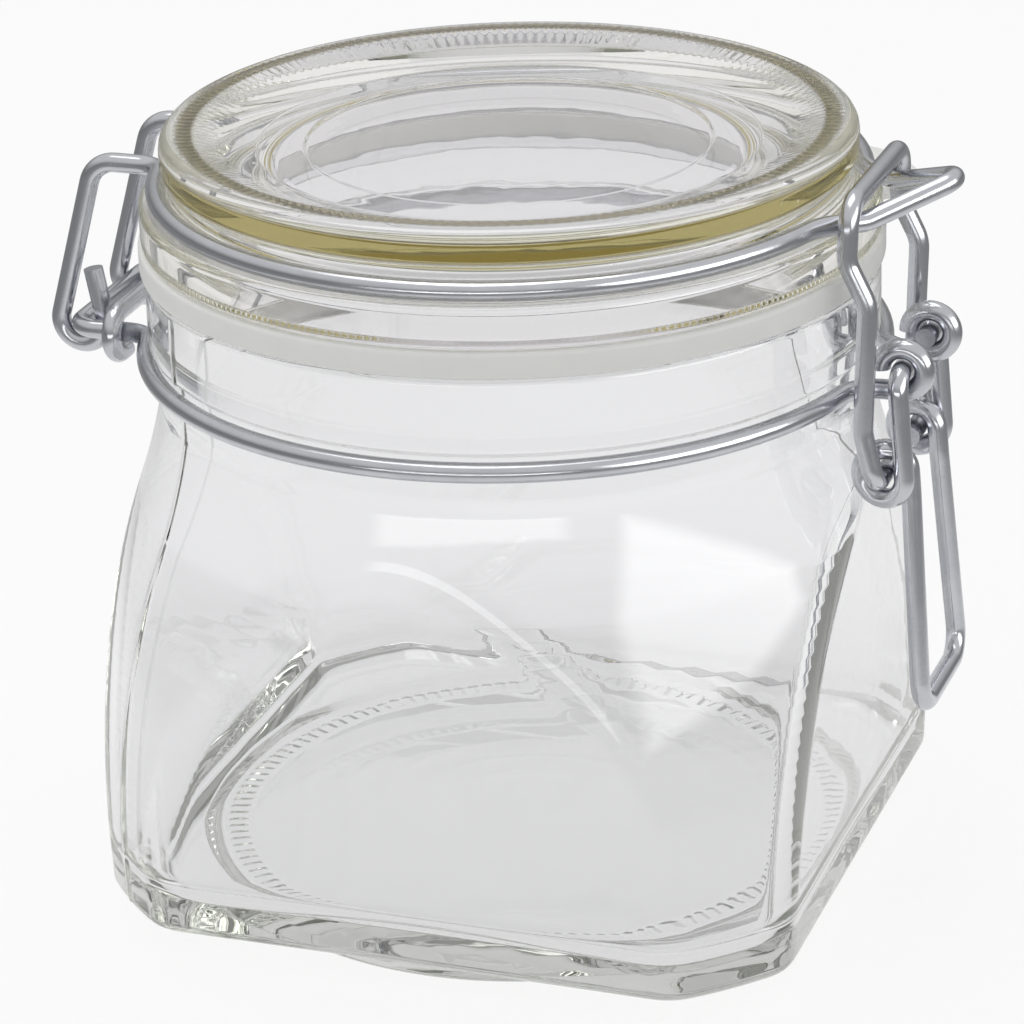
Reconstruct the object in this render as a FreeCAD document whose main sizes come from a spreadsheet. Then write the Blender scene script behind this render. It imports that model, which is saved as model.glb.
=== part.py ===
"""Clip-top glass jar: a square jar with a round neck, a glass lid, a sealing ring and a bent wire harness.

Frame: +Z up, origin on the table under the jar's axis, clasp towards +X, hinge towards -X, millimetres.
"""
import math
import os
from enum import IntEnum

import FreeCAD
import Part
import Sketcher
from FreeCAD import Rotation, Vector

PARTS_FOLDER = "parts"


class SketchId(IntEnum):
    """How a sketch numbers its own axes and the two ends of a side; the across axis starts at the origin."""

    UPRIGHT_AXIS = -2
    ACROSS_AXIS = -1
    START = 1
    END = 2


# Shortest run that a wire path keeps, in millimetres.
SHORTEST_RUN = 1e-6

# Driving dimensions: alias, value in millimetres or degrees, meaning.
DIMENSIONS = [
    ("wire", 2.6, "diameter of all the wires"),
    ("wire_fit", 0.25, "gap between wires that lie side by side"),
    ("seat_fit", 0.1, "gap between a wire or the seal and the glass it lies on"),
    ("mouth_radius", 42.0, "radius of the mouth"),
    ("neck_wall", 5.0, "wall of the neck behind the wire"),
    ("collar_wall", 6.0, "wall of the collar above the neck wire"),
    ("flats_inset", 1.0, "how far the flats, carried down to the table, lie inside the collar"),
    ("flats_lean", 2.0, "outward lean of the flats, in degrees"),
    ("shoulder_reach", 4.3, "how far the body's upper end stands out from the neck"),
    ("corner_reach", 7.6, "how far the body's lower end stands out from its upper end"),
    ("body_curve", 105.0, "radius of the body's side in elevation"),
    ("shoulder_curve", 76.0, "radius of the hollow shoulder in elevation"),
    ("collar_ease", 0.7, "rounding of the collar's edges"),
    ("wall", 3.0, "wall of the jar's body"),
    ("foot_inset", 4.5, "how far the foot ring lies inside the flats"),
    ("foot_width", 6.0, "width of the foot ring"),
    ("foot_recess", 1.5, "depth of the hollow inside the foot ring"),
    ("heel_flare", 3.0, "how far the foot ring widens towards the heel"),
    ("heel_ease", 3.1, "bevel of the heel's outer edge"),
    ("floor_thickness", 5.5, "glass between the foot's hollow and the inside"),
    ("floor_curve", 6.0, "rounding of the inside between floor and wall"),
    ("heel_level", 3.7, "height of the heel above the table"),
    ("body_height", 49.3, "height of the body from the heel to the shoulder"),
    ("shoulder_height", 14.3, "height of the hollow shoulder"),
    ("neck_height", 7.9, "height of the neck between the shoulder and the collar"),
    ("collar_height", 10.4, "height of the collar"),
    ("collar_fit", 0.2, "gap between the neck wire and the collar above it"),
    ("seal_thickness", 3.5, "thickness of the sealing ring"),
    ("seal_play", 0.3, "gap between the sealing ring's hole and the spigot"),
    ("seal_width", 7.0, "width of the sealing ring"),
    ("tab_length", 9.4, "how far the pull tab stands out of the sealing ring"),
    ("tab_width", 18.0, "width of the pull tab"),
    ("tab_thickness", 2.4, "thickness of the pull tab"),
    ("tab_rounding", 6.0, "corner radius of the pull tab"),
    ("tab_azimuth", 44.0, "direction of the pull tab from the clasp, in degrees"),
    ("flange_inset", 0.4, "how far the lid's flange lies inside the sealing ring's edge"),
    ("flange_height", 5.6, "height of the lid's flange"),
    ("flange_ease", 0.5, "rounding of the flange's edges"),
    ("groove_depth", 3.7, "depth of the groove for the lid wire, from the flange's edge"),
    ("rim_lip", 0.7, "how far the lid's rim stands out over the groove"),
    ("lid_rim_height", 4.4, "height of the lid's rim above the wire's groove"),
    ("lid_groove_height", 4.2, "height of the groove for the lid wire"),
    ("lid_rim_ease", 1.8, "rounding of the rim's upper edge"),
    ("rim_top_width", 2.4, "width of the rim's flat top"),
    ("dish_depth", 2.8, "depth of the hollow in the lid's top"),
    ("dish_slope", 8.4, "width of the hollow's sloping border"),
    ("lid_thickness", 5.4, "glass in the middle of the lid"),
    ("spigot_play", 0.7, "gap between the lid's spigot and the mouth"),
    ("spigot_taper", 1.7, "how far the spigot narrows to its lower end"),
    ("spigot_depth", 5.9, "height of the spigot below the flange"),
    ("spigot_width", 2.6, "width of the spigot's lower end"),
    ("hollow_slope", 5.0, "how far the hollow under the lid narrows towards its top"),
    ("hinge_stand", 9.5, "distance from the neck ring to the hinge axle"),
    ("hinge_arm_spread", 12.4, "half the distance between the neck wire's hinge arms"),
    ("hinge_arm_bend", 4.0, "bend radius between a wire ring and a hinge arm"),
    ("axle_bend", 3.0, "bend radius at the ends of the axle"),
    ("lid_hook_radius", 3.2, "centre-line radius of the hooks on the axle"),
    ("lid_leg_spread", 9.4, "half the distance between the lid wire's legs"),
    ("lid_leg_lean", 16.0, "lean of the legs towards the lid, in degrees"),
    ("lid_leg_bend", 4.0, "bend radius at the top of the legs"),
    ("hook_end_length", 7.0, "length of the hook's straight end"),
    ("hook_end_lean", 10.0, "lean of the hook's straight end, in degrees"),
    ("nose_start", 3.9, "distance from the lid ring to where the nose bends upwards"),
    ("nose_length", 9.1, "length of the nose beyond that bend, seen from above"),
    ("nose_rise", 22.0, "upward slope of the nose, in degrees"),
    ("nose_taper", 35.0, "half the angle between the nose's two wires, in degrees"),
    ("nose_tip_radius", 2.6, "centre-line radius of the nose's tip"),
    ("nose_root_bend", 8.0, "bend radius between the lid ring and the nose"),
    ("nose_fold_bend", 4.0, "bend radius where the nose bends upwards"),
    ("tie_stand", 2.8, "distance from the neck ring to the tie between the hinge arms"),
    ("tie_end", 1.5, "length of the tie's straight ends"),
    ("lever_stand", 5.9, "distance from the neck ring to the lever's pivot"),
    ("neck_eye_radius", 2.85, "centre-line radius of the neck wire's eyes"),
    ("neck_eye_spread", 7.2, "half the distance between the neck wire's eyes"),
    ("neck_eye_bend", 5.0, "bend radius between the neck ring and an eye"),
    ("pivot_overhang", 1.5, "how far a pivot end stands out of its eye"),
    ("pivot_bend", 2.4, "bend radius at a pivot end"),
    ("lever_eye_radius", 3.0, "centre-line radius of the lever's eyes"),
    ("clasp_pivot_drop", 13.75, "height of the lever's pivot above the clasp's pivot"),
    ("clasp_pivot_inset", 2.0, "distance of the clasp's pivot inside the lever's pivot"),
    ("handle_length", 32.3, "length of the handle below the clasp's pivot"),
    ("handle_spread", 9.8, "half the width of the handle's cross piece"),
    ("handle_bend", 3.6, "bend radius of the handle's corners"),
    ("handle_knee", 3.0, "straight start of the handle below its eye"),
    ("handle_knee_bend", 20.0, "bend radius where the handle spreads"),
    ("bridge_inset", 5.4, "distance of the clasp's bridge inside the lever's pivot"),
    ("bridge_gap", 0.9, "gap between the clasp's bridge and the nose"),
    ("bridge_bend", 3.4, "bend radius at the clasp's bridge"),
    ("kink_bend", 5.0, "bend radius of the kinks in the clasp's legs"),
    ("kink_in", 1.0, "how far the clasp's legs kink towards the jar"),
    ("kink_out", 1.2, "how far the clasp's legs kink away from the jar"),
    ("kink_low_rise", 7.0, "height of the lower inward kink above the clasp's pivot"),
    ("kink_middle_rise", 24.0, "height of the outward kink above the clasp's pivot"),
    ("kink_high_rise", 29.5, "height of the upper inward kink above the clasp's pivot"),
]

document = FreeCAD.newDocument("clip_top_jar")
sheet = document.addObject("Spreadsheet::Sheet", "Sizes")
for row, (alias, value, meaning) in enumerate(DIMENSIONS, start=1):
    sheet.set(f"A{row}", meaning)
    sheet.set(f"B{row}", str(value))
    sheet.setAlias(f"B{row}", alias)
document.recompute()


def signed_terms(text):
    """Split a sum such as "foot_radius + heel_flare - wall" into pairs of a sign and a word."""
    sign = 1
    terms = []
    for word in text.split():
        if word in ("+", "-"):
            sign = 1 if word == "+" else -1
        else:
            terms.append((sign, word))
            sign = 1
    return terms


def size(text):
    """Give the value of a dimension, or of a sum of dimensions."""
    return sum(sign * float(sheet.get(word)) for sign, word in signed_terms(text))


def formula(text):
    """Give the expression that binds a property to a dimension, or to a sum of dimensions."""
    terms = [("+ " if sign > 0 else "- ") + f"Sizes.{word}" for sign, word in signed_terms(text)]
    return " ".join(terms).lstrip("+ ")


def bind(item, **bindings):
    """Bind properties of a document object to expressions over the sheet."""
    for name, expression in bindings.items():
        item.setExpression(name.replace("__", "."), expression)


def origin_plane(body, role):
    """Find one of a body's own origin planes."""
    return next(feature for feature in body.Origin.OriginFeatures if feature.Role == role)


def place_vertex(sketch, geometry, end, axis, text):
    """Fix one coordinate of a sketch vertex to a sum of dimensions, or to the axis itself."""
    if text == "":
        line = SketchId.UPRIGHT_AXIS if axis == "DistanceX" else SketchId.ACROSS_AXIS
        sketch.addConstraint(Sketcher.Constraint("PointOnObject", geometry, end, line))
        return
    origin = (SketchId.ACROSS_AXIS, SketchId.START)
    index = sketch.addConstraint(Sketcher.Constraint(axis, *origin, geometry, end, size(text)))
    sketch.setExpression(f"Constraints[{index}]", formula(text))


def turned_body(name, outline):
    """Revolve a closed outline about the jar's axis.

    Each entry is a radius, a height and the curve radius of the side that leads on from that point. The
    curve is empty for a straight side. It bulges to the right of the way along the outline, or to the left
    where it starts with a minus.
    """
    body = document.addObject("PartDesign::Body", name)
    sketch = body.newObject("Sketcher::SketchObject", name + "_outline")
    sketch.AttachmentSupport = [(origin_plane(body, "XZ_Plane"), "")]
    sketch.MapMode = "FlatFace"
    points = [Vector(size(radius) if radius else 0.0, size(height), 0.0) for radius, height, _ in outline]
    ends = []
    for index, (_, _, curve) in enumerate(outline):
        start, stop = points[index], points[(index + 1) % len(points)]
        if curve:
            hollow = curve.startswith("-")
            radius = size(curve.lstrip("-"))
            chord = stop - start
            side = Vector(chord.y, -chord.x, 0.0).normalize() * (-1.0 if hollow else 1.0)
            centre = (start + stop) / 2.0 - side * math.sqrt(radius ** 2 - (chord.Length / 2.0) ** 2)
            low, high = (stop - centre, start - centre) if hollow else (start - centre, stop - centre)
            low_angle = math.atan2(low.y, low.x)
            high_angle = low_angle + (math.atan2(high.y, high.x) - low_angle) % (2.0 * math.pi)
            circle = Part.Circle(centre, Vector(0, 0, 1), radius)
            geometry = sketch.addGeometry(Part.ArcOfCircle(circle, low_angle, high_angle), False)
            first, last = (SketchId.END, SketchId.START) if hollow else (SketchId.START, SketchId.END)
            ends.append((geometry, first, last))
            mark = sketch.addConstraint(Sketcher.Constraint("Radius", geometry, radius))
            sketch.setExpression(f"Constraints[{mark}]", formula(curve.lstrip("-")))
        else:
            side = sketch.addGeometry(Part.LineSegment(start, stop), False)
            ends.append((side, SketchId.START, SketchId.END))
    for index, (radius, height, _) in enumerate(outline):
        geometry, first, _ = ends[index]
        before, _, last = ends[index - 1]
        sketch.addConstraint(Sketcher.Constraint("Coincident", before, last, geometry, first))
        place_vertex(sketch, geometry, first, "DistanceX", radius)
        place_vertex(sketch, geometry, first, "DistanceY", height)
    document.recompute()
    turn = body.newObject("PartDesign::Revolution", name + "_turn")
    turn.Profile = sketch
    turn.ReferenceAxis = (sketch, ["V_Axis"])
    turn.Angle = 360.0
    document.recompute()
    return body


def tapered_block(name, half, top):
    """Make a square block about the jar's axis, from the table upwards, whose sides lean as the flats do."""
    block = document.addObject("Part::Wedge", name)
    low = formula(half)
    high = f"{low} + ({formula(top)}) * tan(Sizes.flats_lean * 1 deg)"
    bind(block, Ymax=formula(top), Xmin=f"-({low})", Xmax=low, Zmin=f"-({low})", Zmax=low)
    bind(block, X2min=f"-({high})", X2max=high, Z2min=f"-({high})", Z2max=high)
    block.Ymin = 0.0
    block.Placement = FreeCAD.Placement(Vector(), Rotation(Vector(1, 0, 0), 90.0))
    return block


def combine(kind, name, first, second):
    """Join, cut or intersect two document objects."""
    result = document.addObject(kind, name)
    result.Base = first
    result.Tool = second
    return result


class WirePath:
    """The centre line of one bent wire, made of straight runs and tangent arcs."""

    def __init__(self, start):
        self.edges = []
        self.end = start
        self.radii = []

    def line(self, point):
        """Run straight to a point."""
        if (point - self.end).Length > SHORTEST_RUN:
            self.edges.append(Part.LineSegment(self.end, point).toShape())
        self.end = point

    def arc(self, middle, point):
        """Bend through a middle point to a point."""
        edge = Part.Arc(self.end, middle, point).toShape()
        self.radii.append(edge.Curve.Radius)
        self.edges.append(edge)
        self.end = point

    def hook(self, centre, radius, begin, finish, along):
        """Turn about a centre in an upright plane, in two arcs, between two angles in radians."""
        half = (begin + finish) / 2.0
        for first, last in ((begin, half), (half, finish)):
            self.arc(in_elevation(centre, radius, (first + last) / 2.0, along),
                     in_elevation(centre, radius, last, along))

    def bends(self, corners, last):
        """Run through corners, each a point and a bend radius, to a last point."""
        stops = [point for point, _ in corners] + [last]
        for (corner, radius), following in zip(corners, stops[1:]):
            back = (self.end - corner).normalize()
            ahead = (following - corner).normalize()
            half = back.getAngle(ahead) / 2.0
            reach = radius / math.tan(half)
            middle = corner + (back + ahead).normalize() * (radius / math.sin(half) - radius)
            self.line(corner + back * reach)
            self.arc(middle, corner + ahead * reach)
        self.line(last)

    def mirrored(self):
        """Add the same wire on the other side of the jar's middle plane, back to where it started."""
        flip = FreeCAD.Matrix(1, 0, 0, 0, 0, -1, 0, 0, 0, 0, 1, 0, 0, 0, 0, 1)
        copies = []
        for edge in reversed(self.edges):
            first, last = edge.FirstParameter, edge.LastParameter
            points = [flip.multVec(edge.valueAt(value)) for value in (last, (first + last) / 2.0, first)]
            straight = edge.Curve.TypeId == "Part::GeomLine"
            made = Part.LineSegment(points[0], points[2]) if straight else Part.Arc(*points)
            copies.append(made.toShape())
        self.edges.extend(copies)


def bent_wire(name, path):
    """Sweep the round wire along its centre line."""
    spine = document.addObject("Part::Feature", name + "_line")
    spine.Shape = Part.Wire(path.edges)
    section = document.addObject("Part::Circle", name + "_section")
    bind(section, Radius="Sizes.wire / 2")
    first = path.edges[0]
    start = first.valueAt(first.FirstParameter)
    heading = Rotation(Vector(0, 0, 1), first.tangentAt(first.FirstParameter))
    section.Placement = FreeCAD.Placement(start, heading)
    sweep = document.addObject("Part::Sweep", name)
    sweep.Sections = [section]
    sweep.Spine = (spine, [f"Edge{number + 1}" for number in range(len(path.edges))])
    sweep.Solid = True
    sweep.Frenet = False
    document.recompute()
    wanted = math.pi * (size("wire") / 2.0) ** 2 * spine.Shape.Length
    print(f"{name}: length {spine.Shape.Length:.1f} mm, tightest bend {min(path.radii):.2f} mm, "
          f"volume {sweep.Shape.Volume / wanted:.4f} of section times length")
    return sweep


def on_circle(radius, angle, level):
    """Give a point on a level circle about the jar's axis, at an angle in radians from the clasp."""
    return Vector(radius * math.cos(angle), radius * math.sin(angle), level)


def in_elevation(centre, radius, angle, along):
    """Give a point on an upright circle that faces along Y, at an angle in radians from +X towards +Z."""
    return Vector(centre[0] + radius * math.cos(angle), along, centre[1] + radius * math.sin(angle))


def ring_to_run(ring, bend, spread):
    """Find the bend between a ring and a straight run parallel to X, both seen from above.

    Gives the bend's centre, as an X reach and a Y spread, on the side of +X and +Y.
    """
    return math.sqrt((ring + bend) ** 2 - (spread + bend) ** 2), spread + bend


# The levels and radii that several pieces share, as sums of dimensions.
neck_radius = "mouth_radius + neck_wall"
collar_radius = "mouth_radius + collar_wall"
waist_radius = neck_radius + " + shoulder_reach"
corner_radius = waist_radius + " + corner_reach"
flats_half = collar_radius + " - flats_inset"
foot_radius = flats_half + " - foot_inset"
waist_level = "heel_level + body_height"
shoulder_level = waist_level + " + shoulder_height"
collar_level = shoulder_level + " + neck_height"
mouth_level = collar_level + " + collar_height"
seal_level = mouth_level + " + seat_fit"
lid_base = seal_level + " + seal_thickness"
spigot_radius = "mouth_radius - spigot_play"
seal_hole = spigot_radius + " + seal_play"
seal_radius = seal_hole + " + seal_width"
flange_radius = seal_radius + " - flange_inset"
lid_neck_radius = flange_radius + " - groove_depth"
flange_top = lid_base + " + flange_height"
groove_top = flange_top + " + lid_groove_height"
rim_top = groove_top + " + lid_rim_height"

# The wires' own places, in millimetres.
wire = size("wire")
pitch = wire + size("wire_fit")
neck_level = size(collar_level + " - collar_fit") - wire / 2.0
neck_ring = size(neck_radius + " + seat_fit") + wire / 2.0
lid_ring = size(lid_neck_radius + " + seat_fit") + wire / 2.0
lid_ring_level = size(flange_top + " + seat_fit") + wire / 2.0
nose_root = lid_ring + size("nose_start")
axle = (-neck_ring - size("hinge_stand"), neck_level)
lever_pivot = (neck_ring + size("lever_stand"), neck_level + size("neck_eye_radius"))
clasp_pivot = (lever_pivot[0] - size("clasp_pivot_inset"), lever_pivot[1] - size("clasp_pivot_drop"))
link_spread = size("neck_eye_spread") + pitch
handle_start_spread = link_spread - pitch
leg_spread = link_spread + pitch


def make_jar():
    """Press the jar: turned outside and inside, each cut square by its four flats."""
    outside = turned_body("jar_outside", [
        ("", "foot_recess", ""),
        (foot_radius + " - foot_width", "foot_recess", ""),
        (foot_radius + " - foot_width", "", ""),
        (foot_radius, "", ""),
        (foot_radius + " + heel_flare", "heel_level", ""),
        (corner_radius + " - heel_ease", "heel_level", ""),
        (corner_radius, "heel_level + heel_ease", "body_curve"),
        (waist_radius, waist_level, "-shoulder_curve"),
        (neck_radius, shoulder_level, ""),
        (neck_radius, collar_level, ""),
        (collar_radius, collar_level + " + collar_ease", ""),
        (collar_radius, mouth_level + " - collar_ease", ""),
        (collar_radius + " - collar_ease", mouth_level, ""),
        ("", mouth_level, ""),
    ])
    floor = "foot_recess + floor_thickness"
    inside = turned_body("jar_inside", [
        ("", floor, ""),
        (corner_radius + " - wall - floor_curve", floor, "floor_curve"),
        (corner_radius + " - wall", floor + " + floor_curve", "body_curve"),
        (waist_radius + " - wall", waist_level, "-shoulder_curve"),
        ("mouth_radius", shoulder_level, ""),
        ("mouth_radius", mouth_level + " + wall", ""),
        ("", mouth_level + " + wall", ""),
    ])
    outer_flats = tapered_block("outer_flats", flats_half, mouth_level + " + wall")
    inner_flats = tapered_block("inner_flats", flats_half + " - wall", mouth_level + " + wall")
    outer = combine("Part::Common", "jar_outer", outside, outer_flats)
    inner = combine("Part::Common", "jar_inner", inside, inner_flats)
    return combine("Part::Cut", "glass_jar", outer, inner)


def make_lid():
    """Press the lid: dished top, rim, groove for the wire, flange and spigot."""
    rim = lid_neck_radius + " + rim_lip"
    rim_inner = rim + " - lid_rim_ease - rim_top_width"
    dish = rim_top + " - dish_depth"
    spigot_end = lid_base + " - spigot_depth"
    spigot_inner = spigot_radius + " - spigot_taper - spigot_width"
    hollow_top = dish + " - lid_thickness"
    return turned_body("glass_lid", [
        ("", dish, ""),
        ("", hollow_top, ""),
        (spigot_inner + " - hollow_slope", hollow_top, ""),
        (spigot_inner, spigot_end, ""),
        (spigot_radius + " - spigot_taper", spigot_end, ""),
        (spigot_radius, lid_base, ""),
        (flange_radius + " - flange_ease", lid_base, ""),
        (flange_radius, lid_base + " + flange_ease", ""),
        (flange_radius, flange_top + " - flange_ease", ""),
        (flange_radius + " - flange_ease", flange_top, ""),
        (lid_neck_radius, flange_top, ""),
        (lid_neck_radius, groove_top, ""),
        (rim, groove_top, ""),
        (rim, rim_top + " - lid_rim_ease", "lid_rim_ease"),
        (rim + " - lid_rim_ease", rim_top, ""),
        (rim_inner, rim_top, ""),
        (rim_inner + " - dish_slope", dish, ""),
    ])


def make_seal():
    """Cut the flat sealing ring with its rounded pull tab."""
    level = formula(seal_level)
    disc = document.addObject("Part::Cylinder", "seal_disc")
    bind(disc, Radius=formula(seal_radius), Height="Sizes.seal_thickness", Placement__Base__z=level)
    hole = document.addObject("Part::Cylinder", "seal_hole")
    bind(hole, Radius=formula(seal_hole), Height="Sizes.seal_thickness", Placement__Base__z=level)
    tab = document.addObject("Part::Box", "tab_block")
    start = f"({formula(seal_radius)} - Sizes.seal_width / 2)"
    turn = "Sizes.tab_azimuth * 1 deg"
    bind(tab, Length="Sizes.tab_length + Sizes.seal_width / 2", Width="Sizes.tab_width",
         Height="Sizes.tab_thickness")
    bind(tab, Placement__Rotation__Angle="Sizes.tab_azimuth",
         Placement__Base__x=f"{start} * cos({turn}) + Sizes.tab_width / 2 * sin({turn})",
         Placement__Base__y=f"{start} * sin({turn}) - Sizes.tab_width / 2 * cos({turn})",
         Placement__Base__z=f"{level} + (Sizes.seal_thickness - Sizes.tab_thickness) / 2")
    document.recompute()
    tongue = document.addObject("Part::Fillet", "seal_tab")
    tongue.Base = tab
    rounding = size("tab_rounding")
    outward = Rotation(Vector(0, 0, 1), size("tab_azimuth")).multVec(Vector(1, 0, 0))
    corners = [number for number, edge in enumerate(tab.Shape.Edges, start=1)
               if edge.BoundBox.ZLength > edge.BoundBox.DiagonalLength / 2.0
               and edge.CenterOfMass.dot(outward) > size(seal_radius)]
    tongue.Edges = [(number, rounding, rounding) for number in corners]
    ring = combine("Part::Cut", "seal_ring", disc, hole)
    return combine("Part::Fuse", "rubber_seal", ring, tongue)


def bend_off_ring(path, ring, bend, side, spread, level, to_ring):
    """Bend between a ring and a run parallel to X on the near side, either on to the ring or off it.

    side is 1 at the clasp and -1 at the hinge. Gives the angle on the ring where the bend meets it.
    """
    reach, out = ring_to_run(ring, bend, spread)
    centre = Vector(side * reach, -out, level)
    on_run = Vector(side * reach, -spread, level)
    share = ring / (ring + bend)
    touch = Vector(centre.x * share, centre.y * share, level)
    middle = centre + ((on_run - centre).normalize() + (touch - centre).normalize()).normalize() * bend
    if to_ring:
        path.line(on_run)
        path.arc(middle, touch)
    else:
        path.arc(middle, on_run)
    return math.atan2(touch.y, touch.x)


def ring_angle(ring, bend, side, spread):
    """Give the angle on the ring where a bend from a run parallel to X meets it, on the near side."""
    reach, out = ring_to_run(ring, bend, spread)
    return math.atan2(-out, side * reach)


def make_neck_wire():
    """Bend the neck wire: clasp eyes, ring round the neck, hinge arms and axle."""
    spread = size("neck_eye_spread")
    eye = size("neck_eye_radius")
    arm = size("hinge_arm_spread")
    path = WirePath(in_elevation(lever_pivot, eye, math.pi, -spread))
    path.hook(lever_pivot, eye, math.pi, -math.pi / 2.0, -spread)
    start = bend_off_ring(path, neck_ring, size("neck_eye_bend"), 1, spread, neck_level, True)
    stop = ring_angle(neck_ring, size("hinge_arm_bend"), -1, arm)
    path.arc(on_circle(neck_ring, (start + stop) / 2.0, neck_level), on_circle(neck_ring, stop, neck_level))
    bend_off_ring(path, neck_ring, size("hinge_arm_bend"), -1, arm, neck_level, False)
    path.bends([(Vector(axle[0], -arm, axle[1]), size("axle_bend"))], Vector(axle[0], 0, axle[1]))
    path.mirrored()
    return bent_wire("neck_wire", path)


def make_neck_tie():
    """Bend the tie that holds the two hinge arms together, with an end wrapped round each arm."""
    reach = -neck_ring - size("tie_stand")
    arm = size("hinge_arm_spread")
    below = neck_level - pitch
    path = WirePath(Vector(reach, size("tie_end") - arm, below))
    path.line(Vector(reach, -arm, below))
    path.arc(Vector(reach, -arm - pitch, neck_level), Vector(reach, -arm, neck_level + pitch))
    path.line(Vector(reach, 0, neck_level + pitch))
    path.mirrored()
    return bent_wire("neck_tie", path)


def make_lid_wire():
    """Bend the lid wire: hooks on the axle, legs, ring round the lid and the nose."""
    spread = size("lid_leg_spread")
    hook = size("lid_hook_radius")
    end_lean = math.radians(size("hook_end_lean"))
    leg_lean = math.radians(size("lid_leg_lean"))
    end = in_elevation(axle, hook, end_lean, -spread)
    path = WirePath(end + Vector(-math.sin(end_lean), 0, math.cos(end_lean)) * size("hook_end_length"))
    path.line(end)
    path.hook(axle, hook, end_lean, -math.pi - leg_lean, -spread)
    climb = (lid_ring_level - path.end.z) * math.tan(leg_lean)
    corner = Vector(path.end.x + climb, -spread, lid_ring_level)
    arm_bend = size("hinge_arm_bend")
    reach, _ = ring_to_run(lid_ring, arm_bend, spread)
    path.bends([(corner, size("lid_leg_bend"))], Vector(-reach, -spread, lid_ring_level))
    start = bend_off_ring(path, lid_ring, arm_bend, -1, spread, lid_ring_level, True)
    add_nose(path, start)
    path.mirrored()
    return bent_wire("lid_wire", path)


def add_nose(path, start):
    """Carry the lid wire round its ring and out to the tip of the nose."""
    taper = math.radians(size("nose_taper"))
    rise = math.radians(size("nose_rise"))
    tip = size("nose_tip_radius")
    bend = size("nose_root_bend")
    slope = size("nose_length") / math.cos(rise)
    along = slope - tip + tip * math.sin(taper)
    across = -tip * math.cos(taper)
    heading = Vector(math.cos(taper), math.sin(taper), 0)
    outward = Vector(math.sin(taper), -math.cos(taper), 0)
    fold = Vector(nose_root, across - along * math.tan(taper), 0)
    offset = fold + outward * bend
    lead = offset.dot(heading)
    back = math.sqrt(lead ** 2 - offset.Length ** 2 + (lid_ring + bend) ** 2) - lead
    centre = offset + heading * back
    touch = centre * (lid_ring / (lid_ring + bend))
    run = fold + heading * back
    middle = centre + ((touch - centre).normalize() + (run - centre).normalize()).normalize() * bend
    lift = Vector(0, 0, lid_ring_level)
    angle = math.atan2(touch.y, touch.x)
    around = start if start < angle else start - 2.0 * math.pi
    path.arc(on_circle(lid_ring, (around + angle) / 2.0, lid_ring_level), touch + lift)
    path.arc(middle + lift, run + lift)

    def on_slope(u, y):
        """Give a point on the nose's slope, at a distance up it and a distance across."""
        return Vector(nose_root + u * math.cos(rise), y, lid_ring_level + u * math.sin(rise))

    path.bends([(fold + lift, size("nose_fold_bend"))], on_slope(along, across))
    half = (taper - math.pi / 2.0) / 2.0
    path.arc(on_slope(slope - tip + tip * math.cos(half), tip * math.sin(half)), on_slope(slope, 0))


def make_lever():
    """Bend the lever: pivot ends, links, full-turn eyes and the handle."""
    pivot = Vector(lever_pivot[0], 0, lever_pivot[1])
    eye_centre = Vector(clasp_pivot[0], 0, clasp_pivot[1])
    eye = size("lever_eye_radius")
    span = eye_centre - pivot
    slant = math.degrees(math.asin(eye / span.Length))
    down = Rotation(Vector(0, -1, 0), slant).multVec(span.normalize())
    out = Rotation(Vector(0, -1, 0), 90).multVec(down)
    quarter = pitch / 4.0
    wide = math.hypot(eye, quarter)

    def beside(point, spread):
        """Give the point on the near side of the middle plane."""
        return point + Vector(0, -spread, 0)

    path = WirePath(beside(pivot, size("neck_eye_spread") - wire / 2.0 - size("pivot_overhang")))
    link_end = beside(eye_centre + out * eye, link_spread)
    path.bends([(beside(pivot, link_spread), size("pivot_bend"))], link_end)
    for side, turns in ((1, 1), (-1, 3)):
        path.arc(beside(eye_centre + down * wide * side, link_spread - turns * quarter),
                 beside(eye_centre - out * eye * side, link_spread - (turns + 1) * quarter))
    knee = path.end + down * size("handle_knee")
    foot = eye_centre + out * eye + down * size("handle_length")
    path.bends([(knee, size("handle_knee_bend")),
                (beside(foot, size("handle_spread")), size("handle_bend"))], foot)
    path.mirrored()
    return bent_wire("latch_lever", path)


def make_clasp():
    """Bend the clasp: pivot ends in the lever's eyes, kinked legs and the bridge over the nose."""
    rise = math.radians(size("nose_rise"))
    reach = lever_pivot[0] - size("bridge_inset")
    nose_level = lid_ring_level + (reach - nose_root) * math.tan(rise)
    bridge = Vector(reach, 0, nose_level + (wire + size("bridge_gap")) / math.cos(rise))
    pivot = Vector(clasp_pivot[0], 0, clasp_pivot[1])
    side = Vector(0, -leg_spread, 0)
    lean = (bridge.x - pivot.x) / (bridge.z - pivot.z)

    def kink(height, shift):
        """Give a corner of the near leg, at a height and a shift off its straight line."""
        return pivot + side + Vector(lean * height + shift, 0, height)

    path = WirePath(pivot - Vector(0, handle_start_spread - wire / 2.0 - size("pivot_overhang"), 0))
    path.bends([
        (pivot + side, size("pivot_bend")),
        (kink(size("kink_low_rise"), -size("kink_in")), size("kink_bend")),
        (kink(size("kink_middle_rise"), size("kink_out")), size("kink_bend")),
        (kink(size("kink_high_rise"), -size("kink_in")), size("kink_bend")),
        (bridge + side, size("bridge_bend")),
    ], bridge)
    path.mirrored()
    return bent_wire("clasp_loop", path)


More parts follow.
